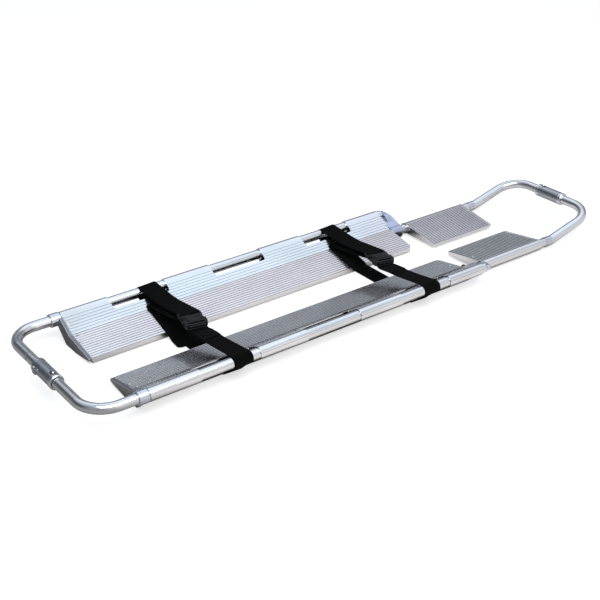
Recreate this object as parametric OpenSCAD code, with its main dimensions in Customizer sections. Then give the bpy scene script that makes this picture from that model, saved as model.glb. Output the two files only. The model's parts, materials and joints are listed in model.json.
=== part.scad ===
// Folding scoop stretcher.
// Two mirrored halves lie side by side. Each half is a bent rail tube that carries a hollow ribbed
// blade, and a foot frame that telescopes into the blade and folds back over it on a hinge.
// Push-button couplings join the halves at the head and at the foot, and two webbing belts go round both.
// Lengths are millimetres. Everything is drawn in rail coordinates: x runs from the head end of the
// blades to the foot, y from the centre line to the patient's left, z up from the axis of the main rails.
// placed() then moves the origin to the floor under the middle of the stretcher.

/* [Rails] */
// Distance from the centre line to a main rail's axis
rail_y = 205; // [200:1:215]
// Height of the main rails' axis above the floor
rail_h = 51; // [51:1:54]
// Outer diameter of every frame tube
tube_d = 25.4; // [25:0.1:25.4]
// Wall thickness of every frame tube
tube_wall = 2; // [1.6:0.1:2.1]
// Distance from the blades' head end to the head cross tube's axis
head_reach = 132.4; // [125:0.1:140]
// Bend radius of the tubes' corners, at the axis
bend_r = 66; // [55:1:75]

/* [Blades] */
// Length of a blade
blade_len = 972; // [970:1:974]
// Distance from the centre line to a blade's inner edge
tip_y = 50; // [48:1:56]
// Drop from the rail axis to the top of a blade's inner edge
tip_drop = 35.5; // [33:0.5:37]
// Distance from the centre line to the crease in a blade's top
crease_y = 145; // [140:1:150]
// Drop from the rail axis to that crease
crease_drop = 18.5; // [18:0.1:18.6]
// Thickness of the blade's and the foot plate's skins
skin = 2; // [1.6:0.1:2.1]
// Spacing of the blade's lengthwise ribs
rib_pitch = 8; // [6:0.1:9]
// Number of handholds along a blade
handholds = 3; // [1:1:3]
// Length of a handhold
handhold_len = 156; // [140:1:160]

/* [Foot frame] */
// Distance from the centre line to a foot rail's axis
foot_y = 149.5; // [149.5:0.1:150.5]
// Drop from the main rails' axis to the foot rails' axis
foot_drop = 33; // [33:0.1:33.5]
// Place along the stretcher of the foot cross tube's axis
foot_reach = 1467.6; // [1460:0.1:1475]
// Drop or rise of the foot cross tube's axis from the main rails' axis
foot_rise = 8; // [6:0.5:10]
// Travel of the telescoping foot frame
foot_travel = 345; // [300:5:345]
// Length of a foot plate
plate_len = 222; // [210:1:225]
// Distance from the centre line to a foot plate's inner edge
plate_tip_y = 26; // [24:1:32]

/* [Hinges] */
// Place along the stretcher of the fold hinge's axis
hinge_x = 996; // [995:0.5:997]
// Rise of the fold hinge's axis above the main rails' axis
hinge_rise = 0; // [0:0.5:2]
// Diameter of the fold hinge's pins
hinge_pin_d = 8; // [6:0.5:9]

/* [Couplings] */
// Outer diameter of a coupling sleeve
sleeve_d = 35; // [34:0.5:36]
// Distance from the centre line to the pivot that lets the head coupling swing
swing_y = 72; // [70:1:76]

/* [Belts] */
// Width of the webbing
web_w = 50; // [44:1:50]
// Thickness of the webbing
web_t = 1.5; // [1.2:0.1:1.5]
// Place along the stretcher of the chest belt
chest_belt_x = 235; // [225:1:236]
// Place along the stretcher of the leg belt
leg_belt_x = 797; // [780:1:800]

/* [Hidden] */
$fn = 64;

tube_r = tube_d / 2;
tube_in_r = tube_r - tube_wall;
fit = 0.1;               // gap between parts that are fixed to each other
run = 0.06;              // radial gap of a running fit
swage = 0.05;            // how much thinner a bend's wall is on each face
mid_x = (foot_reach - head_reach) / 2;

// blade section
boss_r = tube_r + fit + 2.2;
blade_h = rail_h - 2;    // the blade's underside clears the floor by 2 mm, for the belts
foot_wall_y = 166;       // lower end of the blade's outer wall
channel_y = 132;         // inner side of the open channel under the blade
rib_h = 1;
rib_w = 5;
cap_t = 9;
cap_ring = 3.3;          // the cap goes round the rail only this far out, then the collar starts
cap_tip_h = 9;           // rise of the cap's lower edge at the blade's inner edge
cap_heel_y = 115;        // the cap's lower edge reaches the floor here
collar_r = tube_r + fit + 3.6;
collar_len = 24;
corner_r = 12;

// handholds
hold_x0 = 125;
hold_step = 288;
hold_y = 172;
hold_z = -30;
hold_r = 6;

// foot frame
plug_gap = 12;           // from the end of the rail tube to the hinge's axis
knuckle_r = 8;           // round ends of the hinge's plug and arm
arm_w = 38;              // width of the hinge arm
arm_bore_r = tube_r + run;
plate_x = 1031;
plate_end = plate_x + plate_len;
kink_x = 1303;
kink_r = 40;
handle_angle = atan2(foot_drop + foot_rise, foot_reach - kink_x);
tail_x = hinge_x - 24 - foot_travel;
knob_x = hinge_x - 2;
plate_rib_pitch = 9.2;
plate_rib_h = 0.8;
plate_rivet_y = 112;
plate_tip_drop = rail_h - 14;
plate_floor = rail_h - 6.5;
runner_w = 28;           // foot under the foot plate, on which the stretcher rests
runner_y = 90;
band_len = 22;

// couplings
mouth_y = -48;
closed_y = 40;
sleeve_bore_r = 12.85;
engage = 28;
ring_len = 8;
button_y = -34;
flat_z = 5;
tongue_t = 8.8;
ear_gap = 9.6;

// belts
web_mid_z = 4;
buckle_z = 8;
buckle_w = 56;

silver = "silver";
black = "#202224";

module placed() {
    translate([-mid_x, 0, rail_h])
        children();
}

module left() {
    placed()
        children();
}

module right() {
    placed()
        mirror([0, 1, 0])
            children();
}

// Turns a flat y-z outline into a bar from x = x0 to x = x1.
module bar(x0, x1) {
    translate([x0, 0, 0])
        rotate([90, 0, 90])
            linear_extrude(x1 - x0)
                children();
}

module rod_x(r, x0, x1) {
    translate([x0, 0, 0])
        rotate([0, 90, 0])
            cylinder(r = r, h = x1 - x0);
}

module rod_y(r, y0, y1) {
    translate([0, y1, 0])
        rotate([90, 0, 0])
            cylinder(r = r, h = y1 - y0);
}

module tube_x(x0, x1) {
    difference() {
        rod_x(tube_r, x0, x1);
        rod_x(tube_in_r, x0 - 1, x1 + 1);
    }
}

module tube_y(y0, y1) {
    difference() {
        rod_y(tube_r, y0, y1);
        rod_y(tube_in_r, y0 - 1, y1 + 1);
    }
}

// A bend about z: it leaves along +y at [r, 0] and turns left.
// Its ends are swaged a hair thinner and lap into the straight tubes beside it.
module bend(r, turn) {
    lap = 1 / r * 180 / PI;
    rotate_extrude(angle = turn + 2 * lap, start = -lap)
        translate([r, 0])
            difference() {
                circle(r = tube_r - swage);
                circle(r = tube_in_r + swage);
            }
}

// ---------- main halves, drawn for the left side ----------

module rail_tube(y_end) {
    color(silver)
        union() {
            translate([0, rail_y, 0])
                tube_x(bend_r - head_reach, hinge_x - plug_gap);
            translate([bend_r - head_reach, rail_y - bend_r, 0])
                rotate([0, 0, 90])
                    bend(bend_r, 90);
            translate([-head_reach, 0, 0])
                tube_y(y_end, rail_y - bend_r);
        }
}

// Top line of the blade: from the inner edge to the crease, then up to the rail's boss.
function boss_touch() =
    let(dy = rail_y - crease_y, dz = crease_drop, far = norm([dy, dz]))
    let(slope = atan2(dz, dy) + asin(boss_r / far))
    [rail_y - boss_r * sin(slope), boss_r * cos(slope)];

// Line from p to q with raised ribs, the first one starting at `first` along it.
function ribbed(p, q, first) =
    let(d = (q - p) / norm(q - p), up = rib_h * [-d[1], d[0]])
    let(last = floor((norm(q - p) - first - rib_w) / rib_pitch))
    [for (i = [0 : last])
        let(a = p + (first + i * rib_pitch) * d, b = a + rib_w * d)
        each [a, a + up, b + up, b]];

module blade_skin() {
    tip = [tip_y, -tip_drop];
    crease = [crease_y, -crease_drop];
    polygon(concat(
        [[tip_y, -blade_h], tip],
        ribbed(tip, crease, 1),
        [crease],
        ribbed(crease, boss_touch(), 1),
        [boss_touch(), [rail_y, 0], [rail_y + 3, -boss_r + 2], [foot_wall_y, -blade_h]]
    ));
}

module blade_hollow() {
    polygon([
        [tip_y + skin, -blade_h + skin],
        [tip_y + skin, -tip_drop - skin],
        [crease_y, -crease_drop - 1.05 * skin],
        boss_touch() - [0, 1.2 * skin],
        [rail_y, -skin],
        [rail_y + 3 - 1.6 * skin, -boss_r + 2],
        [foot_wall_y - 0.6 * skin, -blade_h + skin]
    ]);
}

// Cuts away the boss and the skins beside the rail, so that the bare tube is the grip.
module handhold_cut() {
    x0 = -handhold_len / 2;
    top = boss_r + 20;
    translate([x0, hold_y + hold_r, hold_z])
        cube([handhold_len, 60, top - hold_z]);
    translate([x0 + hold_r, hold_y, hold_z])
        cube([handhold_len - 2 * hold_r, 40, top - hold_z]);
    for (x = [x0 + hold_r, -x0 - hold_r])
        translate([x, hold_y + hold_r, hold_z])
            cylinder(r = hold_r, h = top - hold_z);
}

module blade() {
    color(silver)
        difference() {
            union() {
                difference() {
                    bar(0, blade_len)
                        blade_skin();
                    bar(-1, blade_len + 1)
                        blade_hollow();
                    translate([-1, channel_y, -blade_h - 1])
                        cube([blade_len + 2, foot_wall_y - 2 - channel_y, skin + 2]);
                }
                translate([0, rail_y, 0])
                    rod_x(boss_r, 0, blade_len);
            }
            translate([0, rail_y, 0])
                rod_x(tube_r + fit, -1, blade_len + 1);
            for (i = [0 : handholds - 1])
                translate([hold_x0 + handhold_len / 2 + i * hold_step, 0, 0])
                    handhold_cut();
            translate([blade_len - corner_r, tip_y - 1, -rail_h])
                difference() {
                    cube([corner_r + 1, corner_r + 1, rail_h]);
                    translate([0, corner_r + 1, -1])
                        cylinder(r = corner_r, h = rail_h + 2);
                }
            for (p = rivet_places())
                on_blade(p[0], p[1])
                    translate([0, 0, -5])
                        cylinder(d = 3.4, h = 10);
        }
}

// Rivets along the head end and the foot end of the blade.
function rivet_places() = [[5, 112], [10, 139], [5, 173], [blade_len - 15, 112], [blade_len - 7, 153]];

function slope(p, q) = (q[1] - p[1]) / (q[0] - p[0]);
function lower_slope() = (tip_drop - crease_drop) / (crease_y - tip_y);
function upper_slope() = slope([crease_y, -crease_drop], boss_touch());

function blade_top(y) =
    y < crease_y
        ? -tip_drop + (y - tip_y) * lower_slope()
        : -crease_drop + (y - crease_y) * upper_slope();

// Puts something on the ribs of the blade's top, square to it.
module on_blade(x, y) {
    translate([x, y, blade_top(y)])
        rotate([atan(y < crease_y ? lower_slope() : upper_slope()), 0, 0])
            translate([0, 0, rib_h + fit])
                children();
}

module dome_rivet(d, h) {
    rotate_extrude()
        intersection() {
            translate([0, h - d])
                circle(r = d);
            square([d / 2, h]);
        }
    translate([0, 0, -3.4])
        cylinder(d = 3.2, h = 3.6);
}

module blade_rivets() {
    color("gainsboro")
        for (p = rivet_places())
            on_blade(p[0], p[1])
                dome_rivet(7, 1.6);
}

// Pan that closes the head end of the blade, with a ring round the rail.
module blade_cap() {
    color("darkgray")
        difference() {
            union() {
                bar(-cap_t, -fit)
                    cap_outline(0);
                translate([0, rail_y, 0])
                    rod_x(boss_r + 0.4, -cap_ring, -fit);
            }
            bar(-cap_t + skin, 1)
                cap_outline(skin);
            translate([0, rail_y, 0]) {
                rod_x(tube_r + fit, -cap_t - 1, 1);
                rod_x(collar_r + fit, -cap_t - 1, -cap_ring);
            }
        }
}

module cap_outline(inset) {
    touch = boss_touch();
    polygon([
        [tip_y + inset, -rail_h + cap_tip_h + inset],
        [tip_y + inset, -tip_drop - inset],
        [crease_y, -crease_drop - inset],
        touch - [inset * 0.6, inset],
        [rail_y - inset, 0],
        [rail_y + 2 - inset, -boss_r + 2],
        [foot_wall_y - inset, -rail_h + inset],
        [cap_heel_y, -rail_h + inset]
    ]);
}

module collar() {
    color("lightsteelblue")
        translate([-cap_ring - fit, rail_y, 0])
            rotate([0, -90, 0])
                rotate_extrude()
                    polygon([
                        [tube_r + fit, 0], [collar_r - 0.6, 0],
                        [collar_r, 0.8], [collar_r, collar_len - 0.8],
                        [collar_r - 0.6, collar_len], [tube_r + fit, collar_len]
                    ]);
}

// ---------- fold hinge ----------

module hinge_plug() {
    tube_end = hinge_x - plug_gap;
    flange = 2.6;
    color("gray")
        difference() {
            union() {
                translate([0, rail_y, 0]) {
                    rod_x(tube_in_r - fit, tube_end - 35, tube_end + 1);
                    rod_x(tube_r, tube_end + fit, tube_end + flange);
                }
                translate([tube_end + 1, rail_y - 2, hinge_rise - knuckle_r])
                    cube([plug_gap - 1, 9, 2 * knuckle_r]);
                translate([hinge_x, 0, hinge_rise])
                    rod_y(knuckle_r, rail_y - 2, rail_y + 7);
            }
            translate([hinge_x, 0, hinge_rise])
                rod_y(hinge_pin_d / 2 + run, rail_y - 20, rail_y + 20);
        }
}

// Swings on the pin beside the plug. Its broad plate slopes down to the foot tube's socket.
module hinge_arm() {
    ear_y = rail_y - 2.2;
    ear_t = 12;
    neck_y = ear_y - ear_t + 1;
    plate_y = neck_y - 2.3;
    socket_r = tube_r + 3;
    color("lightsteelblue")
        difference() {
            union() {
                translate([hinge_x, 0, hinge_rise])
                    rod_y(knuckle_r, ear_y - ear_t, ear_y);
                bar(hinge_x - 9, hinge_x + 9)
                    polygon([[neck_y, 6], [neck_y, -8], [170, -18], [170, -9], [182, 3]]);
                bar(hinge_x - arm_w / 2, hinge_x + arm_w / 2)
                    polygon([
                        [plate_y, -2],
                        [plate_y, -9],
                        [foot_y + 18, -20],
                        [foot_y + 10, -foot_drop - 3],
                        [foot_y - 5, -foot_drop + 9],
                        [foot_y + 2, -foot_drop + socket_r - 0.1]
                    ]);
                translate([0, foot_y, -foot_drop])
                    rod_x(socket_r, hinge_x - arm_w / 2, hinge_x + arm_w / 2);
            }
            translate([0, foot_y, -foot_drop])
                rod_x(arm_bore_r, hinge_x - arm_w, hinge_x + arm_w);
            translate([hinge_x, 0, hinge_rise])
                rod_y(hinge_pin_d / 2 + fit, plate_y - 1, rail_y);
            translate([knob_x, 0, -foot_drop])
                rod_y(3 + run, foot_y - 30, foot_y - 8);
        }
}

module hinge_pin() {
    color("gainsboro")
        translate([hinge_x, 0, hinge_rise]) {
            rod_y(hinge_pin_d / 2, rail_y - 15, rail_y + 8);
            translate([0, rail_y + 7.2, 0])
                rotate([-90, 0, 0])
                    rotate_extrude()
                        intersection() {
                            translate([0, -6])
                                circle(r = 9.5);
                            square([7, 4]);
                        }
        }
}

// Guide pin of the telescoping tube: its nose rides in the tube's keyway, and the knob pulls it out.
module length_knob() {
    color("dimgray")
        translate([knob_x, 0, -foot_drop]) {
            rod_y(1.4, foot_y - 14, foot_y - 12);
            rod_y(3, foot_y - 21, foot_y - 13.4);
            rod_y(6.5, foot_y - 27, foot_y - 21);
        }
}

// ---------- foot frame ----------

module foot_tube(y_end) {
    lead = kink_r * tan(handle_angle / 2);
    slope_len = (foot_reach - kink_x) / cos(handle_angle);
    color(silver)
        union() {
            difference() {
                translate([0, foot_y, -foot_drop])
                    tube_x(tail_x, kink_x - lead);
                translate([tail_x - 1, foot_y - tube_r - 1, -foot_drop - 2])
                    cube([plate_x - 12 - tail_x, tube_wall + 1.4, 4]);
            }
            translate([kink_x - lead, foot_y, -foot_drop + kink_r])
                rotate([90, 0, 0])
                    rotate([0, 0, -90])
                        bend(kink_r, handle_angle);
            translate([kink_x, 0, -foot_drop])
                rotate([0, -handle_angle, 0]) {
                    translate([0, foot_y, 0])
                        tube_x(lead, slope_len - bend_r);
                    translate([slope_len - bend_r, foot_y - bend_r, 0])
                        bend(bend_r, 90);
                    translate([slope_len, 0, 0])
                        tube_y(y_end, foot_y - bend_r);
                }
        }
}

module tail_plug() {
    color("dimgray")
        translate([0, foot_y, -foot_drop]) {
            rod_x(tube_in_r - fit, tail_x - 1, tail_x + 20);
            rod_x(tube_r - 0.4, tail_x - 4, tail_x - fit);
        }
}

function plate_touch() =
    let(dy = foot_y - plate_tip_y, dz = plate_tip_drop - foot_drop, far = norm([dy, dz]))
    let(slope = atan2(dz, dy) + asin(boss_r / far))
    [foot_y - boss_r * sin(slope), -foot_drop + boss_r * cos(slope)];

module plate_skin() {
    polygon([
        [plate_tip_y, -plate_floor],
        [plate_tip_y, -plate_tip_drop],
        plate_touch(),
        [foot_y, -foot_drop],
        [foot_y + 3, -plate_floor]
    ]);
}

module plate_hollow() {
    polygon([
        [plate_tip_y + skin, -plate_floor + skin],
        [plate_tip_y + skin, -plate_tip_drop - skin],
        plate_touch() - [0, skin],
        [foot_y, -foot_drop - skin],
        [foot_y, -plate_floor + skin]
    ]);
}

function plate_rivets_x() = [plate_x + 9, plate_end - 8];

// Puts something on the foot plate's top, square to it.
module on_plate(x) {
    tip = [plate_tip_y, -plate_tip_drop];
    rise = slope(tip, plate_touch());
    translate([x, plate_rivet_y, tip[1] + rise * (plate_rivet_y - tip[0])])
        rotate([atan(rise), 0, 0])
            translate([0, 0, plate_rib_h + fit])
                children();
}

module foot_plate() {
    tip = [plate_tip_y, -plate_tip_drop];
    touch = plate_touch();
    rib_run = norm(touch - tip) - 8;
    count = floor((plate_len - 10) / plate_rib_pitch);
    color(silver)
        difference() {
            union() {
                difference() {
                    bar(plate_x, plate_end)
                        plate_skin();
                    bar(plate_x + skin, plate_end + 1)
                        plate_hollow();
                }
                translate([plate_x + 30, runner_y - runner_w / 2, -rail_h])
                    cube([plate_len - 60, runner_w, rail_h - plate_floor + 1]);
                translate([0, foot_y, -foot_drop])
                    rod_x(boss_r, plate_x, plate_end);
                translate([plate_x + 5, tip[0], tip[1]])
                    rotate([atan(slope(tip, touch)), 0, 0])
                        for (i = [0 : count - 1])
                            translate([i * plate_rib_pitch, 3, -0.3])
                                cube([5, rib_run, plate_rib_h + 0.3]);
            }
            translate([0, foot_y, -foot_drop])
                rod_x(tube_r + fit, plate_x - 1, plate_end + 1);
            for (x = plate_rivets_x())
                on_plate(x)
                    translate([0, 0, -5])
                        cylinder(d = 3.4, h = 10);
            for (e = [0, 1])
                translate([e == 0 ? plate_x : plate_end, plate_tip_y, -rail_h - 1])
                    mirror([e, 0, 0])
                        difference() {
                            translate([-1, -1, 0])
                                cube([7, 7, rail_h]);
                            translate([6, 6, -1])
                                cylinder(r = 6, h = rail_h + 2);
                        }
        }
}

module plate_rivets() {
    color("gainsboro")
        for (x = plate_rivets_x())
            on_plate(x)
                dome_rivet(7, 1.6);
}

module foot_band() {
    color("lightsteelblue")
        translate([kink_x - 5.5 - band_len, foot_y, -foot_drop])
            rotate([0, 90, 0])
                difference() {
                    cylinder(r = tube_r + 0.9, h = band_len);
                    translate([0, 0, -1])
                        cylinder(r = tube_r + fit / 2, h = band_len + 2);
                }
}

// ---------- couplings: the mouth is at -y, the closed end at +y ----------

module at_head() {
    placed()
        translate([-head_reach, 0, 0])
            children();
}

module at_foot() {
    placed()
        translate([foot_reach, 0, foot_rise])
            rotate([0, 0, 180])
                children();
}

// Turns an outline of [radius, distance along the axis] about the y axis.
module turned_y(points) {
    rotate([-90, 0, 0])
        rotate_extrude()
            polygon(points);
}

module sleeve() {
    r = sleeve_d / 2;
    color("gray")
        difference() {
            union() {
                turned_y([
                    [sleeve_bore_r, mouth_y + ring_len], [r, mouth_y + ring_len],
                    [r, closed_y - 6], [r - 1.2, closed_y - 4.8],
                    [r - 1.2, closed_y - 4], [sleeve_bore_r, closed_y - 4]
                ]);
                translate([-r - 1.5, closed_y - 19, -9])
                    cube([5, 14, 10]);
            }
            rod_y(sleeve_bore_r, mouth_y, closed_y);
            for (y = [button_y + 5, button_y - 1])
                translate([0, y, 0])
                    cylinder(r = 6, h = 30);
            translate([-6, button_y - 1, 0])
                cube([12, 6, 30]);
            for (y = [closed_y - 12, closed_y - 28])
                rotate([0, 24, 0])
                    translate([-30, y, 0])
                        rod_x(1.8, 0, 30);
        }
}

module sleeve_rings() {
    r = sleeve_d / 2;
    color("lightgray")
        union() {
            turned_y([
                [tube_r + 0.25, mouth_y - 2], [r - 1, mouth_y - 2], [r + 0.6, mouth_y - 0.5],
                [r + 0.6, mouth_y + ring_len - 2], [r, mouth_y + ring_len - fit],
                [tube_r + 0.25, mouth_y + ring_len - fit]
            ]);
            turned_y([
                [tube_r + fit, closed_y - 4 + fit], [r + 0.5, closed_y - 4 + fit],
                [r + 0.5, closed_y + 1.5], [r - 1, closed_y + 3.5], [tube_r + fit, closed_y + 3.5]
            ]);
        }
}

module sleeve_rivets() {
    color("gainsboro")
        for (y = [closed_y - 12, closed_y - 28])
            rotate([0, 24, 0])
                translate([0, y, 0])
                    rotate([0, -90, 0]) {
                        translate([0, 0, tube_r + 0.2])
                            cylinder(r = 1.7, h = (y > 20 ? 20.2 : sleeve_d / 2 + 0.2) - tube_r + 0.3);
                        translate([0, 0, y > 20 ? 20.2 : sleeve_d / 2 + 0.2])
                            rotate_extrude()
                                intersection() {
                                    translate([0, -2])
                                        circle(r = 3.6);
                                    square([3, 2]);
                                }
                    }
}

module button() {
    color("white")
        translate([0, button_y, 0]) {
            translate([0, 0, 10.2])
                cylinder(r = 5, h = 1.6);
            translate([0, 0, 11])
                cylinder(r = 3.6, h = sleeve_d / 2 - 11);
            translate([0, 0, sleeve_d / 2])
                rotate_extrude()
                    intersection() {
                        circle(r = 3.6);
                        square(4);
                    }
        }
}

// Leaf spring under the button: its tail is trapped behind the button's slot.
module button_spring() {
    color("dimgray")
        union() {
            translate([-4, button_y - 5, 9])
                cube([8, 32, 0.9]);
            translate([-4, button_y + 22, 9])
                cube([8, 5, 3]);
        }
}

module spigot() {
    color("#3a3d40")
        difference() {
            turned_y([
                [0, mouth_y - 34], [tube_in_r - fit, mouth_y - 34], [tube_in_r - fit, mouth_y - 4.4],
                [tube_r - 0.2, mouth_y - 4.4], [tube_r - 0.2, mouth_y - 1], [12.2, mouth_y - 1],
                [12.2, mouth_y + engage - 7], [9, mouth_y + engage], [0, mouth_y + engage]
            ]);
            translate([-20, mouth_y + 1, flat_z])
                cube([40, 60, 20]);
        }
}

// ---------- swing pivot of the head coupling ----------

module knuckle() {
    color("gray")
        difference() {
            intersection() {
                rod_y(tube_r, 2, swing_y + tube_r);
                union() {
                    translate([-tube_r, 0, -tube_r])
                        cube([tube_d, swing_y, tube_d]);
                    translate([0, swing_y, -tube_r])
                        cylinder(r = tube_r, h = tube_d);
                }
            }
            translate([-20, swing_y - tube_r - 1, -ear_gap / 2])
                cube([40, 60, ear_gap]);
            translate([0, swing_y, -20])
                cylinder(r = 3 + fit, h = 40);
        }
}

module knuckle_pin() {
    color("dimgray")
        translate([0, swing_y, -tube_r + 1])
            cylinder(r = 3, h = tube_d - 2);
}

module tongue() {
    shoulder = swing_y + tube_r + 0.8;
    color("gray")
        difference() {
            union() {
                rod_y(tube_r, shoulder, shoulder + 2);
                rod_y(tube_in_r - fit, shoulder + 2, shoulder + 30);
                translate([-9, swing_y, -tongue_t / 2])
                    cube([18, tube_r + 1, tongue_t]);
                translate([0, swing_y, -tongue_t / 2])
                    cylinder(r = 11.5, h = tongue_t);
            }
            translate([0, swing_y, -20])
                cylinder(r = 3 + run, h = 40);
        }
}

// ---------- belts ----------

// Upper run's sag, from the buckle to the rail's crest.
function web_z(y) = web_mid_z + (tube_r + web_t / 2 + 0.4 - web_mid_z) * pow(y / rail_y, 2);

// Outline of a band of webbing along a line of points.
function band_side(p, d) = [
    for (i = [0 : len(p) - 1])
        let(a = p[max(i - 1, 0)], b = p[min(i + 1, len(p) - 1)], t = (b - a) / norm(b - a))
        p[i] + d * [-t[1], t[0]]
];

module band(p) {
    near_side = band_side(p, web_t / 2);
    far_side = band_side(p, -web_t / 2);
    bar(-web_w / 2, web_w / 2)
        polygon(concat(near_side, [for (i = [len(p) - 1 : -1 : 0]) far_side[i]]));
}

// Over the bare rail and round its outside, then straight down beside the blade's outer wall and under it.
function wrap_path() =
    let(r = tube_r + web_t / 2 + 0.4)
    let(turn_end = atan2(blade_h - boss_r + 2, rail_y + 3 - foot_wall_y) - 90)
    let(last = [rail_y + r * cos(turn_end), r * sin(turn_end)], down = [sin(turn_end), -cos(turn_end)])
    let(drop = (blade_h - 2 + last[1]) / -down[1])
    concat(
        [for (i = [0 : 14]) let(a = 90 + (turn_end - 90) * i / 14) [rail_y + r * cos(a), r * sin(a)]],
        [last + drop * down, [foot_wall_y + 2.5, -blade_h - 0.7], [foot_wall_y - 3, under_z]]
    );

function upper_path(y0) = [for (i = [0 : 9]) let(y = y0 + (rail_y - 4 - y0) * i / 9) [y, web_z(y)]];

under_z = -rail_h + web_t / 2 + 0.15;

module left_web() {
    color(black)
        band(concat(upper_path(18), wrap_path(), [[channel_y + 4, under_z]]));
}

module right_web() {
    color(black)
        band(concat(upper_path(50), wrap_path(), [[channel_y + 24, under_z]]));
}

// The part of the loop that lies on the floor, from the left blade's channel to the right blade.
module lower_web() {
    color(black)
        band([[channel_y + 3.5, under_z], [-channel_y, under_z]]);
}

module buckle_plate(y0, y1, w, z, t) {
    r = 5;
    translate([0, 0, z])
        linear_extrude(t)
            union() {
                translate([-w / 2 + r, y0])
                    square([w - 2 * r, y1 - y0]);
                translate([-w / 2, y0 + r])
                    square([w, y1 - y0 - r]);
                for (x = [-w / 2 + r, w / 2 - r])
                    translate([x, y0 + r])
                        circle(r = r);
            }
}

module buckle_socket() {
    half = buckle_w / 2;
    color(black)
        translate([0, 0, buckle_z])
            difference() {
                union() {
                    buckle_plate(-47, -13, buckle_w, 4.2, 2.6);
                    buckle_plate(-47, -13, buckle_w, -6.8, 2.6);
                    buckle_plate(-47, -33, buckle_w, -5, 10);
                    translate([0, -42.5, 0])
                        rotate([0, 90, 0])
                            cylinder(r = 6.8, h = buckle_w - 10, center = true);
                }
                translate([-half + 7, -44, -20])
                    cube([buckle_w - 14, 5, 40]);
            }
}

module buckle_tongue() {
    half = buckle_w / 2;
    color(black)
        translate([0, 0, buckle_z])
            union() {
                difference() {
                    translate([-half, -10, -6])
                        cube([buckle_w, 26, 11]);
                    translate([-half + 5, -3, -2.5])
                        cube([buckle_w - 10, 30, 20]);
                    translate([-half + 5, 4, -20])
                        cube([buckle_w - 10, 5, 40]);
                }
                for (s = [-1, 1])
                    translate([s * (half - 6.5), 0, 0]) {
                        translate([-3, -30, -3.8])
                            cube([6, 22, 7.6]);
                        translate([s * 2, -24, -3.8])
                            cylinder(r = 4.5, h = 7.6);
                    }
                translate([-9, -24, -1.5])
                    cube([18, 16, 3]);
            }
}

module chest_belt() {
    placed()
        translate([chest_belt_x, 0, 0])
            children();
}

module leg_belt() {
    placed()
        translate([leg_belt_x, 0, 0])
            children();
}

module left_rail_tube() { left() rail_tube(swing_y + tube_r + 3); }
module right_rail_tube() { right() rail_tube(-mouth_y + 4.6); }
module left_blade() { left() blade(); }
module right_blade() { right() blade(); }
module left_blade_cap() { left() blade_cap(); }
module right_blade_cap() { right() blade_cap(); }
module left_collar() { left() collar(); }
module right_collar() { right() collar(); }
module left_blade_rivets() { left() blade_rivets(); }
module right_blade_rivets() { right() blade_rivets(); }
module left_hinge_plug() { left() hinge_plug(); }
module right_hinge_plug() { right() hinge_plug(); }
module left_hinge_arm() { left() hinge_arm(); }
module right_hinge_arm() { right() hinge_arm(); }
module left_hinge_pin() { left() hinge_pin(); }
module right_hinge_pin() { right() hinge_pin(); }
module left_length_knob() { left() length_knob(); }
module right_length_knob() { right() length_knob(); }
module left_foot_tube() { left() foot_tube(-mouth_y + 4.6); }
module right_foot_tube() { right() foot_tube(2); }
module left_tail_plug() { left() tail_plug(); }
module right_tail_plug() { right() tail_plug(); }
module left_foot_plate() { left() foot_plate(); }
module right_foot_plate() { right() foot_plate(); }
module left_plate_rivets() { left() plate_rivets(); }
module right_plate_rivets() { right() plate_rivets(); }
module left_foot_band() { left() foot_band(); }
module right_foot_band() { right() foot_band(); }
module head_spigot() { at_head() spigot(); }
module head_sleeve() { at_head() sleeve(); }
module head_sleeve_rings() { at_head() sleeve_rings(); }
module head_sleeve_rivets() { at_head() sleeve_rivets(); }
module head_button() { at_head() button(); }
module head_button_spring() { at_head() button_spring(); }
module head_knuckle() { at_head() knuckle(); }
module head_knuckle_pin() { at_head() knuckle_pin(); }
module head_tongue() { at_head() tongue(); }
module foot_spigot() { at_foot() spigot(); }
module foot_sleeve() { at_foot() sleeve(); }
module foot_sleeve_rings() { at_foot() sleeve_rings(); }
module foot_sleeve_rivets() { at_foot() sleeve_rivets(); }
module foot_button() { at_foot() button(); }
module foot_button_spring() { at_foot() button_spring(); }
module chest_belt_left_web() { chest_belt() left_web(); }
module chest_belt_right_web() { chest_belt() mirror([0, 1, 0]) right_web(); }
module chest_belt_lower_web() { chest_belt() lower_web(); }
module chest_belt_socket() { chest_belt() buckle_socket(); }
module chest_belt_tongue() { chest_belt() buckle_tongue(); }
module leg_belt_left_web() { leg_belt() left_web(); }
module leg_belt_right_web() { leg_belt() mirror([0, 1, 0]) right_web(); }
module leg_belt_lower_web() { leg_belt() lower_web(); }
module leg_belt_socket() { leg_belt() buckle_socket(); }
module leg_belt_tongue() { leg_belt() buckle_tongue(); }

left_rail_tube();
right_rail_tube();
left_blade();
right_blade();
left_blade_cap();
right_blade_cap();
left_collar();
right_collar();
left_blade_rivets();
right_blade_rivets();
left_hinge_plug();
right_hinge_plug();
left_hinge_arm();
right_hinge_arm();
left_hinge_pin();
right_hinge_pin();
left_length_knob();
right_length_knob();
left_foot_tube();
right_foot_tube();
left_tail_plug();
right_tail_plug();
left_foot_plate();
right_foot_plate();
left_plate_rivets();
right_plate_rivets();
left_foot_band();
right_foot_band();
head_spigot();
head_sleeve();
head_sleeve_rings();
head_sleeve_rivets();
head_button();
head_button_spring();
head_knuckle();
head_knuckle_pin();
head_tongue();
foot_spigot();
foot_sleeve();
foot_sleeve_rings();
foot_sleeve_rivets();
foot_button();
foot_button_spring();
chest_belt_left_web();
chest_belt_right_web();
chest_belt_lower_web();
chest_belt_socket();
chest_belt_tongue();
leg_belt_left_web();
leg_belt_right_web();
leg_belt_lower_web();
leg_belt_socket();
leg_belt_tongue();
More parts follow.
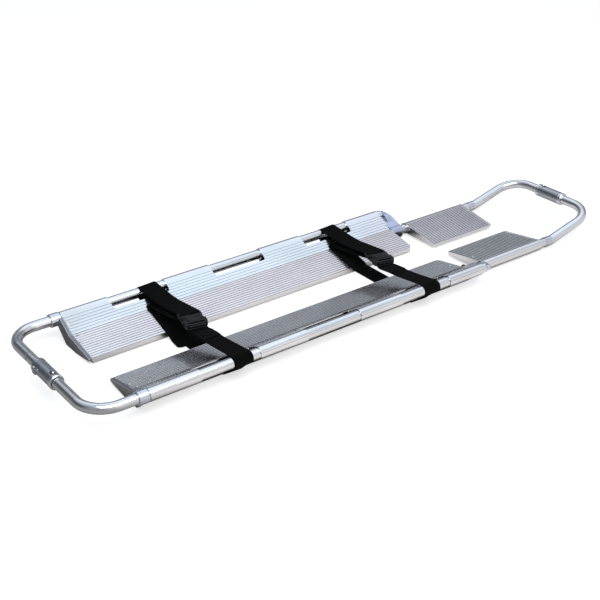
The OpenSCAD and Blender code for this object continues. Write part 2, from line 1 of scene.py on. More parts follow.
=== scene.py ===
"""The looks of the folding scoop stretcher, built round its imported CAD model."""

import json
import math

import bmesh
import bpy
from mathutils import Matrix, Vector, noise


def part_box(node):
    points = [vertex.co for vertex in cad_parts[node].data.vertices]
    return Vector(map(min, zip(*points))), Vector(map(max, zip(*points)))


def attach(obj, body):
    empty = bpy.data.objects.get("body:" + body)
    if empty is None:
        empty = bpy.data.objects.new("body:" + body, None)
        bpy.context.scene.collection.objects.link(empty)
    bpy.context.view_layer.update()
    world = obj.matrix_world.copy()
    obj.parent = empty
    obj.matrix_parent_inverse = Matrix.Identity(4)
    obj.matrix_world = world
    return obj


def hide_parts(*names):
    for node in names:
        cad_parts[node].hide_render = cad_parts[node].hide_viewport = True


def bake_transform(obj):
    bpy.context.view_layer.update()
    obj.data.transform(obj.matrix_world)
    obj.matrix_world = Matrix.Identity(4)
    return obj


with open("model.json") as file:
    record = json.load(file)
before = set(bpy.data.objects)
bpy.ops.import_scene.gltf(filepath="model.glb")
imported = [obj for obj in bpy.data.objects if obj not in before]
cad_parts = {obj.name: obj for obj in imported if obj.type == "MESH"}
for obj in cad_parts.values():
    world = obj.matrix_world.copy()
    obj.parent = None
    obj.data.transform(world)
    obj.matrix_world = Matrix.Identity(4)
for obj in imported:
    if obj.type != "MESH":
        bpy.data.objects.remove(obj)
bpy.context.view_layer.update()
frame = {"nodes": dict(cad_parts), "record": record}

MM = 0.001
X = Vector((1, 0, 0))
Z = Vector((0, 0, 1))

# Sizes and places that the CAD model has too.
TUBE_R = 12.7 * MM
WEB_W = 50 * MM
WEB_T = 1.5 * MM
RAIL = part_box("left_rail_tube")[1] - Vector((0, TUBE_R, TUBE_R))
BELTS = ("chest_belt", "leg_belt")

# Faces that meet at more than these angles keep a crisp edge between them.
CAD_CREASE = math.radians(28)
PIECE_CREASE = math.radians(40)


# ---------- node graphs ----------


def rgb(red, green, blue):
    return (red, green, blue, 1)


class Graph:
    """A node tree, with short names for what this script adds to it."""

    def __init__(self, tree):
        self.nodes = tree.nodes
        self.links = tree.links

    def add(self, kind, **settings):
        node = self.nodes.new("ShaderNode" + kind)
        for key, value in settings.items():
            setattr(node, key, value)
        return node

    def put(self, socket, value):
        """Sets a socket to a number or colour, or links it to another node's socket."""
        if isinstance(value, bpy.types.NodeSocket):
            self.links.new(value, socket)
        else:
            socket.default_value = value

    def fill(self, node, values):
        """Sets or links a node's inputs by name, and returns the node."""
        for name, value in values.items():
            self.put(node.inputs[name], value)
        return node

    def math(self, operation, *values):
        node = self.add("Math", operation=operation)
        for socket, value in zip(node.inputs, values):
            self.put(socket, value)
        return node.outputs[0]

    def place(self, scale=(1, 1, 1), turn=(0, 0, 0)):
        """Coordinates in metres, stretched by scale and turned."""
        source = self.add("TexCoord").outputs["Object"]
        values = {"Vector": source, "Rotation": turn, "Scale": scale}
        return self.fill(self.add("Mapping"), values).outputs[0]

    def split(self, vector):
        node = self.add("SeparateXYZ")
        self.put(node.inputs[0], vector)
        return node.outputs

    def noise(self, vector, scale, detail=3.0, roughness=0.55):
        values = {"Vector": vector, "Scale": scale, "Detail": detail, "Roughness": roughness}
        return self.fill(self.add("TexNoise"), values).outputs["Fac"]

    def remap(self, value, low, high, to_low, to_high):
        """Moves values between low and high to between to_low and to_high, and holds others at the ends."""
        values = {"Value": value, "From Min": low, "From Max": high, "To Min": to_low, "To Max": to_high}
        return self.fill(self.add("MapRange"), values).outputs["Result"]

    def mix(self, factor, a, b, kind="RGBA"):
        node = self.add("Mix", data_type=kind)
        return self.fill(node, {"Factor": factor, "A": a, "B": b}).outputs["Result"]

    def ramp(self, value, stops):
        """A colour ramp of (position, colour) stops."""
        node = self.add("ValToRGB")
        self.put(node.inputs[0], value)
        elements = node.color_ramp.elements
        elements.remove(elements[1])
        for index, (position, colour) in enumerate(stops):
            element = elements.new(position) if index else elements[0]
            element.position = position
            element.color = rgb(*colour)
        return node.outputs[0]

    def bump(self, height, strength, distance, under=None):
        node = self.fill(self.add("Bump"), {"Height": height, "Strength": strength, "Distance": distance})
        if under is not None:
            self.put(node.inputs["Normal"], under)
        return node.outputs["Normal"]


class Surface(Graph):
    """A material's node tree."""

    def __init__(self, name):
        self.material = bpy.data.materials.new(name)
        self.material.use_nodes = True
        super().__init__(self.material.node_tree)
        self.bsdf = self.nodes["Principled BSDF"]

    def finish(self, colour, roughness, normal, **inputs):
        values = {"Base Color": colour, "Roughness": roughness, "Normal": normal}
        values.update((name.replace("_", " "), value) for name, value in inputs.items())
        self.fill(self.bsdf, values)
        return self.material


# ---------- materials ----------

LENGTHWISE = (0.045, 1, 1)
GROOVE_REACH = 2.2 * MM
EDGE_REACH = 2.4 * MM
# Tone of the painted shade laid into grooves.
PAINTED_SHADE_TONE = rgb(0.10, 0.095, 0.10)
SCRATCHED = rgb(0.9, 0.9, 0.92)
# Tone of the painted highlight along edges.
EDGE_GLINT_TONE = rgb(0.86, 0.86, 0.90)
RIDGE_PITCH = 4.2 * MM
YARN_PITCH = 1.35 * MM


def scaled(colour, factor):
    return rgb(*(min(1, factor * channel) for channel in colour))


def metal(
    name,
    colour,
    rough,
    grain=(1, 1, 1),
    grain_scale=900,
    grain_depth=0.02,
    groove_shade=0.45,
    cloud=0.07,
    edge_glint=0.0,
):
    """Bare or anodised metal: fine grain, cloudy handling marks, a few scratches, painted shade in its
    grooves and painted highlight on its edges.

    The roughness varies by cloud to each side of rough, and grain_depth is in millimetres. The groove and
    edge settings say how strongly painted shade darkens grooves that face the viewer and painted highlight
    lightens edges.
    """
    g = Surface(name)
    grain_noise = g.noise(g.place(grain), grain_scale, 4)
    clouds = g.noise(g.place((1, 2.2, 2.2)), 7, 2)
    smears = g.noise(g.place((3, 14, 14)), 9, 5, 0.65)
    scratch_lines = g.noise(g.place((25, 400, 60), (0.2, 0.1, 0.35)), 3.2, 2)
    scratches = g.remap(scratch_lines, 0.70, 0.76, 0, 1)
    # Painted shade: grooves and corners that ambient occlusion finds are darkened, on faces turned toward
    # the viewer only.
    corners = g.fill(g.add("AmbientOcclusion", samples=8), {"Distance": GROOVE_REACH})
    glancing = g.add("LayerWeight").outputs["Facing"]
    sheltered_shade = g.remap(corners.outputs["AO"], 0.35, 0.9, groove_shade, 0)
    painted_shade_mask = g.math("MULTIPLY", sheltered_shade, g.remap(glancing, 0.45, 0.58, 1, 0))

    tone = g.mix(g.remap(clouds, 0.3, 0.7, 0, 1), scaled(colour, 0.93), scaled(colour, 1.04))
    tone = g.mix(g.math("MULTIPLY", scratches, 0.25), tone, SCRATCHED)
    tone = g.mix(painted_shade_mask, tone, PAINTED_SHADE_TONE)
    # Painted highlight: edges, found where the bevelled normal turns away from the true one, are lightened.
    if edge_glint:
        softened = g.fill(g.add("Bevel", samples=4), {"Radius": EDGE_REACH})
        bend = g.add("VectorMath", operation="DOT_PRODUCT")
        g.put(bend.inputs[0], softened.outputs[0])
        g.put(bend.inputs[1], g.add("NewGeometry").outputs["Normal"])
        tone = g.mix(g.remap(bend.outputs["Value"], 0.90, 0.99, edge_glint, 0), tone, EDGE_GLINT_TONE)

    smeared = g.remap(smears, 0.3, 0.7, rough - cloud, rough + cloud)
    roughness = g.math("ADD", smeared, g.math("MULTIPLY", scratches, 0.12))
    roughness = g.math("ADD", roughness, g.remap(grain_noise, 0.3, 0.7, -0.03, 0.03))
    fine = g.bump(grain_noise, 0.35, grain_depth * MM)
    normal = g.bump(clouds, 0.2, 0.12 * MM, fine)
    return g.finish(tone, roughness, normal, Metallic=1.0)


def plastic(name, colour, rough, grain=1500):
    """Moulded plastic with a fine spark-eroded texture, and patches that handling has dulled."""
    g = Surface(name)
    pores = g.noise(g.place(), grain)
    clouds = g.noise(g.place(), 60)
    tone = g.mix(g.remap(clouds, 0.3, 0.7, 0, 1), rgb(*colour), scaled(colour, 1.7))
    roughness = g.remap(clouds, 0.3, 0.7, rough - 0.08, rough + 0.08)
    normal = g.bump(pores, 0.35, 0.04 * MM)
    return g.finish(tone, roughness, normal, Specular_IOR_Level=0.3)


def webbing(name):
    """Woven belt webbing: chevrons of yarn between lengthwise ridges. Its UVs are metres."""
    g = Surface(name)
    along, across, _ = g.split(g.add("TexCoord").outputs["UV"])
    slant = g.math("MULTIPLY", g.math("PINGPONG", across, RIDGE_PITCH / 2), 1.4)
    yarn = g.math("SINE", g.math("MULTIPLY", g.math("ADD", along, slant), math.tau / YARN_PITCH))
    ridges = g.math("SINE", g.math("MULTIPLY", across, math.tau / RIDGE_PITCH))
    height = g.math("ADD", g.math("MULTIPLY", yarn, 0.5), g.math("MULTIPLY", ridges, 0.5))
    fuzz = g.noise(g.place(), 2600)
    wear = g.noise(g.place(), 35, 4)
    shade = g.mix(g.remap(height, -1, 1, 0, 1), rgb(0.0012, 0.0014, 0.0014), rgb(0.0045, 0.005, 0.005))
    shade = g.mix(g.remap(wear, 0.5, 0.8, 0, 0.3), shade, rgb(0.010, 0.0105, 0.0105))
    normal = g.bump(height, 0.8, 0.28 * MM, g.bump(fuzz, 0.5, 0.1 * MM))
    looks = {"Sheen_Weight": 0.012, "Sheen_Roughness": 0.5, "Specular_IOR_Level": 0.03}
    return g.finish(shade, 0.82, normal, **looks)


def thread(name):
    g = Surface(name)
    twist = g.noise(g.place((1, 4, 1)), 3000, 2)
    shade = g.mix(twist, rgb(0.004, 0.0045, 0.0045), rgb(0.014, 0.0145, 0.015))
    return g.finish(shade, 0.7, g.bump(twist, 0.6, 0.05 * MM))


# Besides colour and roughness, each metal says how much painted shade darkens its grooves and how much
# painted highlight lightens its edges.
METALS = {
    "tubing": dict(
        colour=(0.82, 0.835, 0.85),
        rough=0.20,
        grain_scale=700,
        grain_depth=0.0015,
        groove_shade=0.1,
        cloud=0.05,
    ),
    "blade_skin": dict(
        colour=(0.84, 0.85, 0.87),
        rough=0.18,
        grain=LENGTHWISE,
        grain_scale=1400,
        grain_depth=0.0015,
        groove_shade=0.95,
        cloud=0.05,
    ),
    "end_cap": dict(colour=(0.27, 0.28, 0.30), rough=0.36, grain_scale=1200, groove_shade=0.3, edge_glint=0.9),
    "trim_ring": dict(colour=(0.70, 0.73, 0.80), rough=0.22, grain_depth=0.01),
    "rivet": dict(colour=(0.86, 0.87, 0.89), rough=0.22, grain_depth=0.01, groove_shade=0.3),
    "hinge_casting": dict(colour=(0.55, 0.60, 0.76), rough=0.34, grain_scale=1500, groove_shade=0.3, edge_glint=0.5),
    "pin": dict(colour=(0.72, 0.72, 0.74), rough=0.22, grain_depth=0.01),
    "coupling_body": dict(colour=(0.46, 0.49, 0.53), rough=0.30, grain_scale=1300, groove_shade=0.3, edge_glint=0.8),
    "coupling_ring": dict(colour=(0.78, 0.80, 0.84), rough=0.20, grain_depth=0.01),
    "button": dict(colour=(0.90, 0.91, 0.93), rough=0.12, grain_depth=0.004, groove_shade=0.2, cloud=0.03),
    "spring": dict(colour=(0.5, 0.5, 0.52), rough=0.3, grain=LENGTHWISE, grain_depth=0.01),
    "spigot": dict(colour=(0.17, 0.18, 0.20), rough=0.35, grain_scale=1200, grain_depth=0.01),
}
MATERIALS = {name: metal(name, **looks) for name, looks in METALS.items()}
MATERIALS["black_plastic"] = plastic("black_plastic", (0.016, 0.016, 0.018), 0.5)
MATERIALS["buckle_plastic"] = plastic("buckle_plastic", (0.004, 0.004, 0.005), 0.34)
MATERIALS["webbing"] = webbing("webbing")
MATERIALS["stitching"] = thread("stitching")


def dress_cad_nodes():
    """Gives each CAD node its slot's material, and shades it smooth with crisp edges."""
    for entry in frame["record"]["subparts"]:
        data = frame["nodes"][entry["node"]].data
        data.materials.clear()
        data.materials.append(MATERIALS[entry["material_slot"]])
        data.shade_smooth()
        data.set_sharp_from_angle(angle=CAD_CREASE)


# ---------- mesh helpers ----------

SELVEDGE_POWER = 14
RIPPLES_PER_METRE = 28


def piece(name, mesh, body, slot, material=None, replaces=()):
    """Adds a mesh as a piece. It rides on a CAD body when one is given."""
    obj = bpy.data.objects.new(name, mesh)
    bpy.context.scene.collection.objects.link(obj)
    mesh.materials.append(MATERIALS[material or slot])
    mesh.shade_smooth()
    if body:
        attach(obj, body)
    if replaces:
        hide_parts(*replaces)
    return obj


def new_mesh(name, shape):
    mesh = bpy.data.meshes.new(name)
    bmesh.ops.recalc_face_normals(shape, faces=shape.faces)
    shape.to_mesh(mesh)
    shape.free()
    return mesh


def spline(points, step):
    """Points about `step` apart on a smooth curve through the given ones."""
    out = []
    last = len(points) - 1
    for i in range(last):
        before, a, b, after = points[max(i - 1, 0)], points[i], points[i + 1], points[min(i + 2, last)]
        slope = b - before
        bend = 2 * before - 5 * a + 4 * b - after
        twist = 3 * a - before - 3 * b + after
        count = max(1, round((b - a).length / step))
        for k in range(count):
            t = k / count
            out.append(0.5 * (2 * a + slope * t + bend * t * t + twist * t ** 3))
    out.append(points[-1].copy())
    return out


def ribbon(name, path, width=WEB_W, twist=lambda t: 0.0, wave=0.0, round_end=0.0, seed=0.0):
    """Webbing along a path: a thin band with rounded selvedges whose UVs are metres along and across.

    twist(t) tips the band about its own line, in radians. wave is the height of its ripples, and
    round_end is the radius of the far end's corners.
    """
    across_steps = 16
    shape = bmesh.new()
    uv = shape.loops.layers.uv.new("weave")

    def face_on(corners):
        face = shape.faces.new([corner[0] for corner in corners])
        for loop, corner in zip(face.loops, corners):
            loop[uv].uv = corner[1:]

    rings = []
    last = len(path) - 1
    length = 0
    for i, point in enumerate(path):
        tangent = (path[min(i + 1, last)] - path[max(i - 1, 0)]).normalized()
        side = (X - X.dot(tangent) * tangent).normalized()
        side = Matrix.Rotation(twist(i / last), 3, tangent) @ side
        up = side.cross(tangent)
        if i:
            length += (point - path[i - 1]).length
        to_end = sum((path[k + 1] - path[k]).length for k in range(i, min(last, i + 12)))
        half = width / 2
        if to_end < round_end:
            half -= round_end - math.sqrt(max(0, round_end ** 2 - (round_end - to_end) ** 2))
        ring = []
        for face in (1, -1):
            for k in range(across_steps + 1):
                s = (2 * k / across_steps - 1) * face
                edge = math.sqrt(max(0.0, 1 - abs(s) ** SELVEDGE_POWER))
                ripple = wave * noise.noise(Vector((length * RIPPLES_PER_METRE, s * 0.8, seed)))
                lift = face * WEB_T / 2 * (0.35 + 0.65 * edge) + ripple
                vert = shape.verts.new(point + side * (s * half) + up * lift)
                ring.append((vert, length, s * half))
        rings.append(ring)
    count = len(rings[0])
    for a, b in zip(rings, rings[1:]):
        for k in range(count):
            after = (k + 1) % count
            face_on([a[k], a[after], b[after], b[k]])
    for ring in (rings[0], rings[-1]):
        for k in range(across_steps):
            face_on([ring[k], ring[k + 1], ring[count - 2 - k], ring[count - 1 - k]])
    return new_mesh(name, shape)


def arc(centre, radius, start, end, steps):
    """Points on an arc between two angles, which are in degrees."""
    points = []
    for k in range(steps + 1):
        angle = math.radians(start + (end - start) * k / steps)
        points.append((centre[0] + radius * math.cos(angle), centre[1] + radius * math.sin(angle)))
    return points


def bar_across(shape, y, z, radius, half, sides=20):
    """A round bar along x."""
    ring = arc((y, z), radius, 0, 360, sides)[:-1]
    ends = [[shape.verts.new((x, *spot)) for spot in ring] for x in (-half, half)]
    for k in range(sides):
        j = (k + 1) % sides
        shape.faces.new((ends[0][k], ends[0][j], ends[1][j], ends[1][k]))
    shape.faces.new(ends[0][::-1])
    shape.faces.new(ends[1])


# ---------- belts ----------

WEB_STEP = 2.5 * MM
WRAP_R = TUBE_R + WEB_T / 2 + 0.4 * MM
WRAP_CREST = 96
WRAP_END = -49.5
WRAP_STEPS = 16
UNDER_BLADE = -50.05
FLOOR_WEB_Z = 0.95 * MM
STITCH = 3.2 * MM
STITCH_INSET = 6 * MM
BUCKLE_Z = RAIL.z + 8 * MM
BUCKLE_TURN = Matrix.Rotation(math.radians(-12), 4, "Z")
BUCKLE_SHIFT = {"chest_belt": (3 * MM, -3 * MM), "leg_belt": (1 * MM, -16 * MM)}
HAS_HANGING_END = {"chest_belt": True, "leg_belt": False}


def belt_centre(belt):
    low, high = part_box(belt + "_left_web")
    return (low.x + high.x) / 2


def at_rail(points, x):
    """Points given as (x offset, y, z above the rail's axis), in millimetres."""
    return [Vector((x + p[0] * MM, p[1] * MM, RAIL.z + p[2] * MM)) for p in points]


def wrap(x, side):
    """Over the rail, round its outside, down beside the blade's outer wall and in under it."""
    turn = arc((RAIL.y, RAIL.z), WRAP_R, WRAP_CREST, WRAP_END, WRAP_STEPS)
    points = [Vector((x, side * y, z)) for y, z in turn]
    for y, z in ((186.5, -32.8), (171.6, -46.6), (168, -49.4), (161, UNDER_BLADE)):
        points += at_rail([(0, side * y, z)], x)
    return points


def sagging(start, end, bows, steps=10):
    """From start to end, bowed down by the depths in bows, which are spread evenly between them."""
    depths = (0, *bows, 0)
    points = []
    for k in range(1, steps):
        t = k / steps
        place = t * (len(bows) + 1)
        i = math.floor(place)
        bow = depths[i] + (depths[i + 1] - depths[i]) * (place - i)
        points.append(start.lerp(end, t) - Z * bow * MM)
    return points


def far_belt_path(belt, x):
    """From under the left blade, round the rail, over the buckle's bars and back under itself."""
    dx, dy = (v / MM for v in BUCKLE_SHIFT[belt])
    buckle = [
        (dx + 7, dy + 35, 11.5),
        (dx + 5, dy + 27, 12.6),
        (dx + 4, dy + 20, 11.0),
        (dx + 3, dy + 17.5, 8),
        (dx + 4, dy + 20, 4.2),
    ]
    doubled_back = [
        (2, 44, -1), (0, 70, -4.5), (-3, 105, -8), (-6, 138, -10), (-7, 149, -11.2), (-8, 152, -13.2),
        (-9, 145, -15.6), (-10, 130, -19.2), (-12, 100, -24.6), (-14, 76, -28.6), (-15, 60, -31.4),
        (-15.5, 51, -33.2), (-16, 44.5, -36.5),
    ]
    hanging = [(-16.5, 38, -41), (-17, 29, -45), (-18, 16, -47.6), (-19, 2, -48.4), (-20, -12, -48.8)]
    crest = wrap(x, 1)
    over = sagging(crest[0], at_rail(buckle, x)[0], (4, 7.5, 7.5, 4))
    path = at_rail([(0, 139, UNDER_BLADE)], x) + crest[::-1] + over
    path += at_rail(buckle + doubled_back, x)
    if HAS_HANGING_END[belt]:
        path += at_rail(hanging, x)
    return path


def near_belt_path(belt, x):
    """From inside the buckle's slot, under its rim, over the right rail and in under the right blade."""
    dx, dy = (v / MM for v in BUCKLE_SHIFT[belt])
    slot = [(dx - 3, dy - 15, 10), (dx - 4, dy - 21, 7.0), (dx - 5, dy - 27, 1.0), (dx - 6, dy - 36, -0.6)]
    path = at_rail(slot, x)
    crest = wrap(x, -1)
    over = sagging(path[-1], crest[0], (0.6, 1.6, 1.4, 0.4))
    return path + over + crest + at_rail([(0, -157, UNDER_BLADE)], x)


def stitch_box(name, lap):
    """A sewn box with a cross in it, as rows of short raised stitches on top of a lap of webbing."""
    start, end = lap[2], lap[-3]
    along = end - start
    half = WEB_W / 2 - STITCH_INSET
    corners = [(0, -half), (1, -half), (1, half), (0, half), (0, -half), (1, half), (1, -half), (0, half)]
    shape = bmesh.new()
    lift = Z * (WEB_T / 2 + 0.15 * MM)
    for a, b in zip(corners, corners[1:]):
        p = start + along * a[0] + X * a[1] + lift
        q = start + along * b[0] + X * b[1] + lift
        count = max(1, int((q - p).length / STITCH))
        step = (q - p) / count
        turn = step.to_track_quat("X", "Z").to_matrix().to_4x4()
        size = Matrix.Diagonal((step.length * 0.42, 0.42 * MM, 0.35 * MM, 1))
        for k in range(count):
            made = bmesh.ops.create_uvsphere(shape, u_segments=8, v_segments=5, radius=1)
            place = Matrix.Translation(p + step * (k + 0.5)) @ turn @ size
            bmesh.ops.transform(shape, matrix=place, verts=made["verts"])
    return new_mesh(name, shape)


def lay_web(name, path, body, replaces=(), **shape):
    piece(name, ribbon(name, path, **shape), body, "webbing", replaces=replaces)


def make_webs():
    for index, belt in enumerate(BELTS):
        x = belt_centre(belt)
        far = spline(far_belt_path(belt, x), WEB_STEP)
        lay_web(
            belt + "_far_run",
            far,
            "left_main",
            (belt + "_left_web",),
            twist=lambda t: 0.05 * math.sin(6 * t),
            wave=0.5 * MM,
            round_end=9 * MM,
            seed=index + 1,
        )
        near = spline(near_belt_path(belt, x), WEB_STEP)
        lay_web(
            belt + "_near_run",
            near,
            "right_main",
            (belt + "_right_web",),
            twist=lambda t: -0.03 * math.sin(5 * t),
            wave=0.4 * MM,
            seed=index + 4,
        )
        low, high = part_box(belt + "_lower_web")
        floor_run = [Vector((x, high.y + (low.y - high.y) * k / 10, FLOOR_WEB_Z)) for k in range(11)]
        path = spline(floor_run, 4 * MM)
        lay_web(belt + "_floor_run", path, "left_main", (belt + "_lower_web",), seed=index + 7)

        lap = [p + Z * (WEB_T + 0.1 * MM) for p in near if -95 * MM < p.y < -52 * MM]
        lay_web(belt + "_sewn_lap", lap, "right_main", width=WEB_W - 1 * MM, seed=index + 4)
        stitches = belt + "_stitches"
        piece(stitches, stitch_box(stitches, lap), "right_main", "webbing", "stitching")


# ---------- buckles ----------


def moulded(name, layers, bar):
    """Moulded plates with rounded edges, and a round bar across them.

    A layer is (outline, holes, low z, high z, edge radius), and the bar is (y, z, radius, half length).
    """
    shape = bmesh.new()
    for outline, holes, low, high, edge in layers:
        curve = bpy.data.curves.new("outline", "CURVE")
        curve.dimensions = "2D"
        curve.fill_mode = "BOTH"
        curve.extrude = (high - low) / 2 - edge
        curve.bevel_depth = edge
        curve.bevel_resolution = 3
        curve.offset = -edge
        for loop in [outline] + holes:
            line = curve.splines.new("POLY")
            line.points.add(len(loop) - 1)
            line.use_cyclic_u = True
            for point, (x, y) in zip(line.points, loop):
                point.co = (x, y, 0, 1)
        holder = bpy.data.objects.new("outline", curve)
        mesh = bpy.data.meshes.new_from_object(holder)
        mesh.transform(Matrix.Translation((0, 0, (low + high) / 2)))
        shape.from_mesh(mesh)
        bpy.data.objects.remove(holder)
        bpy.data.curves.remove(curve)
        bpy.data.meshes.remove(mesh)
    bar_across(shape, *bar)
    bmesh.ops.remove_doubles(shape, verts=shape.verts, dist=0.01 * MM)
    return new_mesh(name, shape)


def mm(points):
    return [(x * MM, y * MM) for x, y in points]


def mirrored(right):
    """A closed outline from its right-hand side, given from the near end to the far end."""
    return mm(right + [(-x, y) for x, y in reversed(right)])


def rounded(x0, y0, x1, y1, r):
    steps = 6
    return mm(
        arc((x1 - r, y0 + r), r, -90, 0, steps)
        + arc((x1 - r, y1 - r), r, 0, 90, steps)
        + arc((x0 + r, y1 - r), r, 90, 180, steps)
        + arc((x0 + r, y0 + r), r, 180, 270, steps)
    )


def side_release_socket(name):
    """The half with the mouth: two plates on cheeks, with a slot for the webbing at the round end."""
    waist = [(28, -9), (24.5, -5), (23.5, 2), (26, 8), (25, 12), (17, 13.5), (10, 10), (0, 9)]
    plan = mirrored([(0, -33)] + arc((15, -20), 13, -90, 0, 10) + waist)
    raised = [(19.5, 0), (21, 6), (15, 9), (8, 6), (0, 5)]
    crown = mirrored([(0, -15.5)] + arc((13, -9.5), 6, -90, 0, 5) + raised)
    slot = rounded(-20, -28, 20, -20.5, 3.7)
    layers = [
        (plan, [slot], 4.2 * MM, 7.6 * MM, 1.2 * MM),
        (plan, [slot], -6.8 * MM, -3.6 * MM, 1.0 * MM),
        (crown, [], 6.6 * MM, 9.3 * MM, 1.2 * MM),
        (rounded(-26.5, -30, -20.5, -10, 2.5), [], -5.5 * MM, 6.0 * MM, 0.6 * MM),
        (rounded(20.5, -30, 26.5, -10, 2.5), [], -5.5 * MM, 6.0 * MM, 0.6 * MM),
        (rounded(-21, -20, 21, -17.5, 1), [], -5.0 * MM, 5.5 * MM, 0.4 * MM),
    ]
    return moulded(name, layers, (-29.6 * MM, 0.4 * MM, 3.4 * MM, 20 * MM))


def side_release_tongue(name):
    """The half with two sprung prongs, a guide blade between them, and a frame for the webbing."""
    prong = [
        (19, 14), (19.5, 4), (21, -6), (21, -9), (24, -10),
        (27.3, -8.5), (28.6, -4), (28.4, 1), (25.2, 5), (25, 13),
    ]
    layers = [
        (mm(prong), [], -3.2 * MM, 3.4 * MM, 0.9 * MM),
        (mm([(-x, y) for x, y in prong]), [], -3.2 * MM, 3.4 * MM, 0.9 * MM),
        (rounded(-27.5, 11.5, 27.5, 17, 2), [], -5.6 * MM, 5.6 * MM, 1.0 * MM),
        (rounded(-28, 13, -23.2, 34, 2.2), [], -4.4 * MM, 4.6 * MM, 1.0 * MM),
        (rounded(23.2, 13, 28, 34, 2.2), [], -4.4 * MM, 4.6 * MM, 1.0 * MM),
        (rounded(-8, -10, 8, 13, 2), [], -1.5 * MM, 1.5 * MM, 0.5 * MM),
        (rounded(-28, 29.5, 28, 36.5, 3), [], -0.6 * MM, 3.2 * MM, 1.2 * MM),
    ]
    return moulded(name, layers, (21 * MM, 0, 2.2 * MM, 25 * MM))


BUCKLE_HALVES = (
    ("socket", side_release_socket, "right_main"),
    ("tongue", side_release_tongue, "left_main"),
)


def make_buckles():
    for belt in BELTS:
        dx, dy = BUCKLE_SHIFT[belt]
        spot = Matrix.Translation((belt_centre(belt) + dx, dy, BUCKLE_Z)) @ BUCKLE_TURN
        for half, make, body in BUCKLE_HALVES:
            name = f"{belt}_buckle_{half}"
            mesh = make(name)
            mesh.transform(spot)
            piece(name, mesh, body, "buckle_plastic", replaces=(f"{belt}_{half}",))
            mesh.set_sharp_from_angle(angle=PIECE_CREASE)


# ---------- release springs ----------

SPRING_T = 0.9 * MM
SPRING_FOOT = 5 * MM
SPRING_STEPS = 22
RELEASES = (("head", "head_coupling", "head_release"), ("foot", "right_foot", "foot_release"))


def make_springs():
    """Under each release button, a leaf of spring steel."""
    for end, held, pressed in RELEASES:
        node = end + "_button_spring"
        low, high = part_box(node)
        raised = [v.co.y for v in frame["nodes"][node].data.vertices if v.co.z > high.z - 0.1 * MM]
        way = 1 if sum(raised) / len(raised) > (low.y + high.y) / 2 else -1
        fixed, free = (high.y, low.y) if way == 1 else (low.y, high.y)
        heel = fixed - way * SPRING_FOOT
        under = [(free + (fixed - free) * k / SPRING_STEPS, low.z) for k in range(SPRING_STEPS + 1)]
        upper = [(y, z + SPRING_T) for y, z in under if (fixed - y) * way > SPRING_FOOT]
        foot = [(heel, low.z + SPRING_T), (heel, high.z), (fixed, high.z)]
        outline = upper + foot + under[::-1]
        shape = bmesh.new()
        rows = [[shape.verts.new((x, y, z)) for y, z in outline] for x in (low.x, high.x)]
        for k in range(len(outline)):
            j = (k + 1) % len(outline)
            shape.faces.new((rows[0][k], rows[0][j], rows[1][j], rows[1][k]))
        for row in (rows[0][::-1], rows[1]):
            bmesh.ops.triangulate(shape, faces=[shape.faces.new(row)])
        name = end + "_leaf_spring"
        leaf = piece(name, new_mesh(name, shape), None, "spring", replaces=(node,))
        leaf.data.set_sharp_from_angle(angle=PIECE_CREASE)
        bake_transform(leaf)


# ---------- stage ----------

CAMERA_AT = Vector((-1.5948, -1.9712, 1.3415))
CAMERA_DOWN = math.radians(28.41)
CAMERA_TURN = math.radians(53.12)
CAMERA_LENS = 67.2
FLOOR_HALF = 30
FLOOR_SHELTER = 60 * MM
FLOOR_GLOW = 0.62

# The studio's colours by height, from straight down (0) through level (0.5) to straight up (1).
AHEAD = (
    (0.0, (0.22, 0.22, 0.23)),
    (0.12, (0.25, 0.26, 0.28)),
    (0.20, (0.40, 0.42, 0.46)),
    (0.26, (0.25, 0.27, 0.30)),
    (0.34, (0.17, 0.20, 0.23)),
    (0.52, (0.14, 0.18, 0.205)),
    (0.60, (0.52, 0.52, 0.58)),
    (0.68, (0.97, 0.94, 1.02)),
    (0.78, (0.95, 1.02, 1.16)),
)
BEHIND = (
    (0.0, (0.55, 0.51, 0.49)),
    (0.10, (0.66, 0.64, 0.63)),
    (0.30, (0.80, 0.81, 0.84)),
    (0.55, (0.55, 0.58, 0.63)),
    (0.75, (0.62, 0.66, 0.72)),
    (0.84, (0.85, 1.0, 1.15)),
)
OVERHEAD = (
    (0.9, (0.92, 1.10, 1.25)),
    (0.94, (0.90, 1.00, 1.10)),
    (0.97, (0.52, 0.57, 0.62)),
)


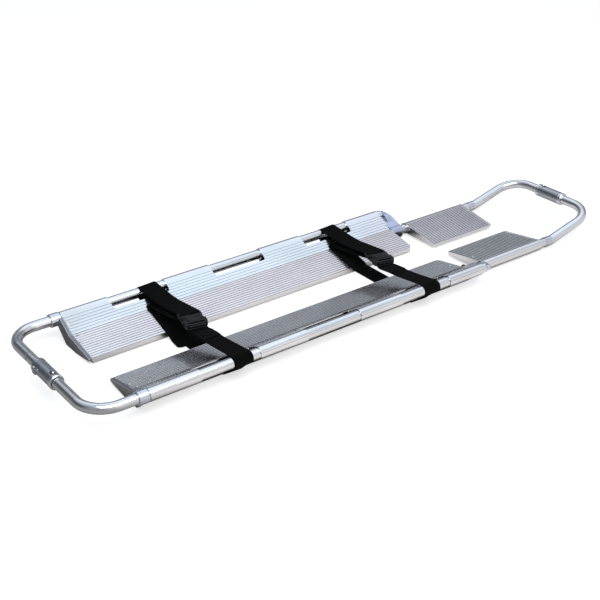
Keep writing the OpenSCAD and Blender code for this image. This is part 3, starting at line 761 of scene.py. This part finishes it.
def make_floor():
    """A floor that is white to the camera, and darker and warmer in what the metal mirrors, with painted
    shade there near the stretcher and toward the head end.
    """
    mesh = bpy.data.meshes.new("floor")
    corners = [(-1, -1), (1, -1), (1, 1), (-1, 1)]
    mesh.from_pydata([(FLOOR_HALF * x, FLOOR_HALF * y, 0) for x, y in corners], [], [(0, 1, 2, 3)])
    floor = bpy.data.objects.new("floor", mesh)
    bpy.context.scene.collection.objects.link(floor)
    g = Surface("floor")
    seen = g.add("LightPath").outputs["Is Camera Ray"]
    speckle = g.noise(g.place(), 120)
    # Painted shade in what the metal mirrors: the floor darkens where ambient occlusion finds the stretcher
    # close above it, and toward the head end.
    shelter = g.fill(g.add("AmbientOcclusion", samples=6), {"Distance": FLOOR_SHELTER})
    open_air = g.remap(shelter.outputs["AO"], 0.5, 0.85, 0, 1)
    away_from_head = g.remap(g.split(g.place())[0], -0.75, -0.5, 0.15, 1)
    lit = g.math("MULTIPLY", open_air, away_from_head)
    mirrored_tone = g.mix(lit, rgb(0.25, 0.24, 0.225), rgb(0.84, 0.78, 0.75))
    seen_tone = g.mix(speckle, rgb(0.60, 0.59, 0.585), rgb(0.63, 0.62, 0.615))
    g.finish(g.mix(seen, mirrored_tone, seen_tone), 0.9, g.bump(speckle, 0.05, 0.2 * MM))
    glow = g.add("Emission")
    g.fill(glow, {"Color": rgb(1, 1, 1), "Strength": g.math("MULTIPLY", seen, FLOOR_GLOW)})
    both = g.add("AddShader")
    g.put(both.inputs[0], g.bsdf.outputs[0])
    g.put(both.inputs[1], glow.outputs[0])
    g.put(g.nodes["Material Output"].inputs["Surface"], both.outputs[0])
    mesh.materials.append(g.material)


def make_world():
    """A soft studio: a bright cool ceiling, a pale wall behind the camera and a dim one ahead of it."""
    world = bpy.data.worlds.new("studio")
    bpy.context.scene.world = world
    world.use_nodes = True
    g = Graph(world.node_tree)
    direction = g.add("TexCoord").outputs["Generated"]
    x, y, z = g.split(direction)
    light = g.nodes["Background"]
    nearness = g.remap(y, 0.15, -0.25, 0, 1)
    colour = g.mix(nearness, g.ramp(z, AHEAD + OVERHEAD), g.ramp(z, BEHIND + OVERHEAD))
    clouds = g.remap(g.noise(direction, 5.5, 2.5, 0.5), 0.32, 0.68, 0.62, 1.45)
    strength = g.mix(g.remap(z, 0.45, 0.62, 0, 1), clouds, 1.0, "FLOAT")
    away_from_head = g.remap(x, -0.5, 0.1, 0.42, 1)
    g.fill(light, {"Color": colour, "Strength": g.math("MULTIPLY", strength, away_from_head)})
    backdrop = g.fill(g.add("Background"), {"Color": rgb(1, 1, 1)})
    either = g.add("MixShader")
    g.put(either.inputs[0], g.add("LightPath").outputs["Is Camera Ray"])
    g.put(either.inputs[1], light.outputs[0])
    g.put(either.inputs[2], backdrop.outputs[0])
    g.put(g.nodes["World Output"].inputs["Surface"], either.outputs[0])


def make_lights():
    data = bpy.data.lights.new("soft_box", "AREA")
    data.shape = "RECTANGLE"
    data.size = 3.2
    data.size_y = 2.0
    data.energy = 60
    data.color = (1.0, 0.985, 0.96)
    light = bpy.data.objects.new("soft_box", data)
    light.location = (-0.6, -1.6, 2.6)
    light.rotation_euler = (-light.location).to_track_quat("-Z", "Y").to_euler()
    bpy.context.scene.collection.objects.link(light)


def make_camera():
    data = bpy.data.cameras.new("camera")
    data.lens = CAMERA_LENS
    data.sensor_width = 36
    data.clip_end = 100
    camera = bpy.data.objects.new("camera", data)
    camera.location = CAMERA_AT
    level = math.cos(CAMERA_DOWN)
    look = Vector((level * math.cos(CAMERA_TURN), level * math.sin(CAMERA_TURN), -math.sin(CAMERA_DOWN)))
    camera.rotation_euler = look.to_track_quat("-Z", "Y").to_euler()
    bpy.context.scene.collection.objects.link(camera)
    bpy.context.scene.camera = camera


dress_cad_nodes()
make_webs()
make_buckles()
make_springs()
make_floor()
make_world()
make_lights()
make_camera()
bpy.context.scene.view_settings.view_transform = "Standard"
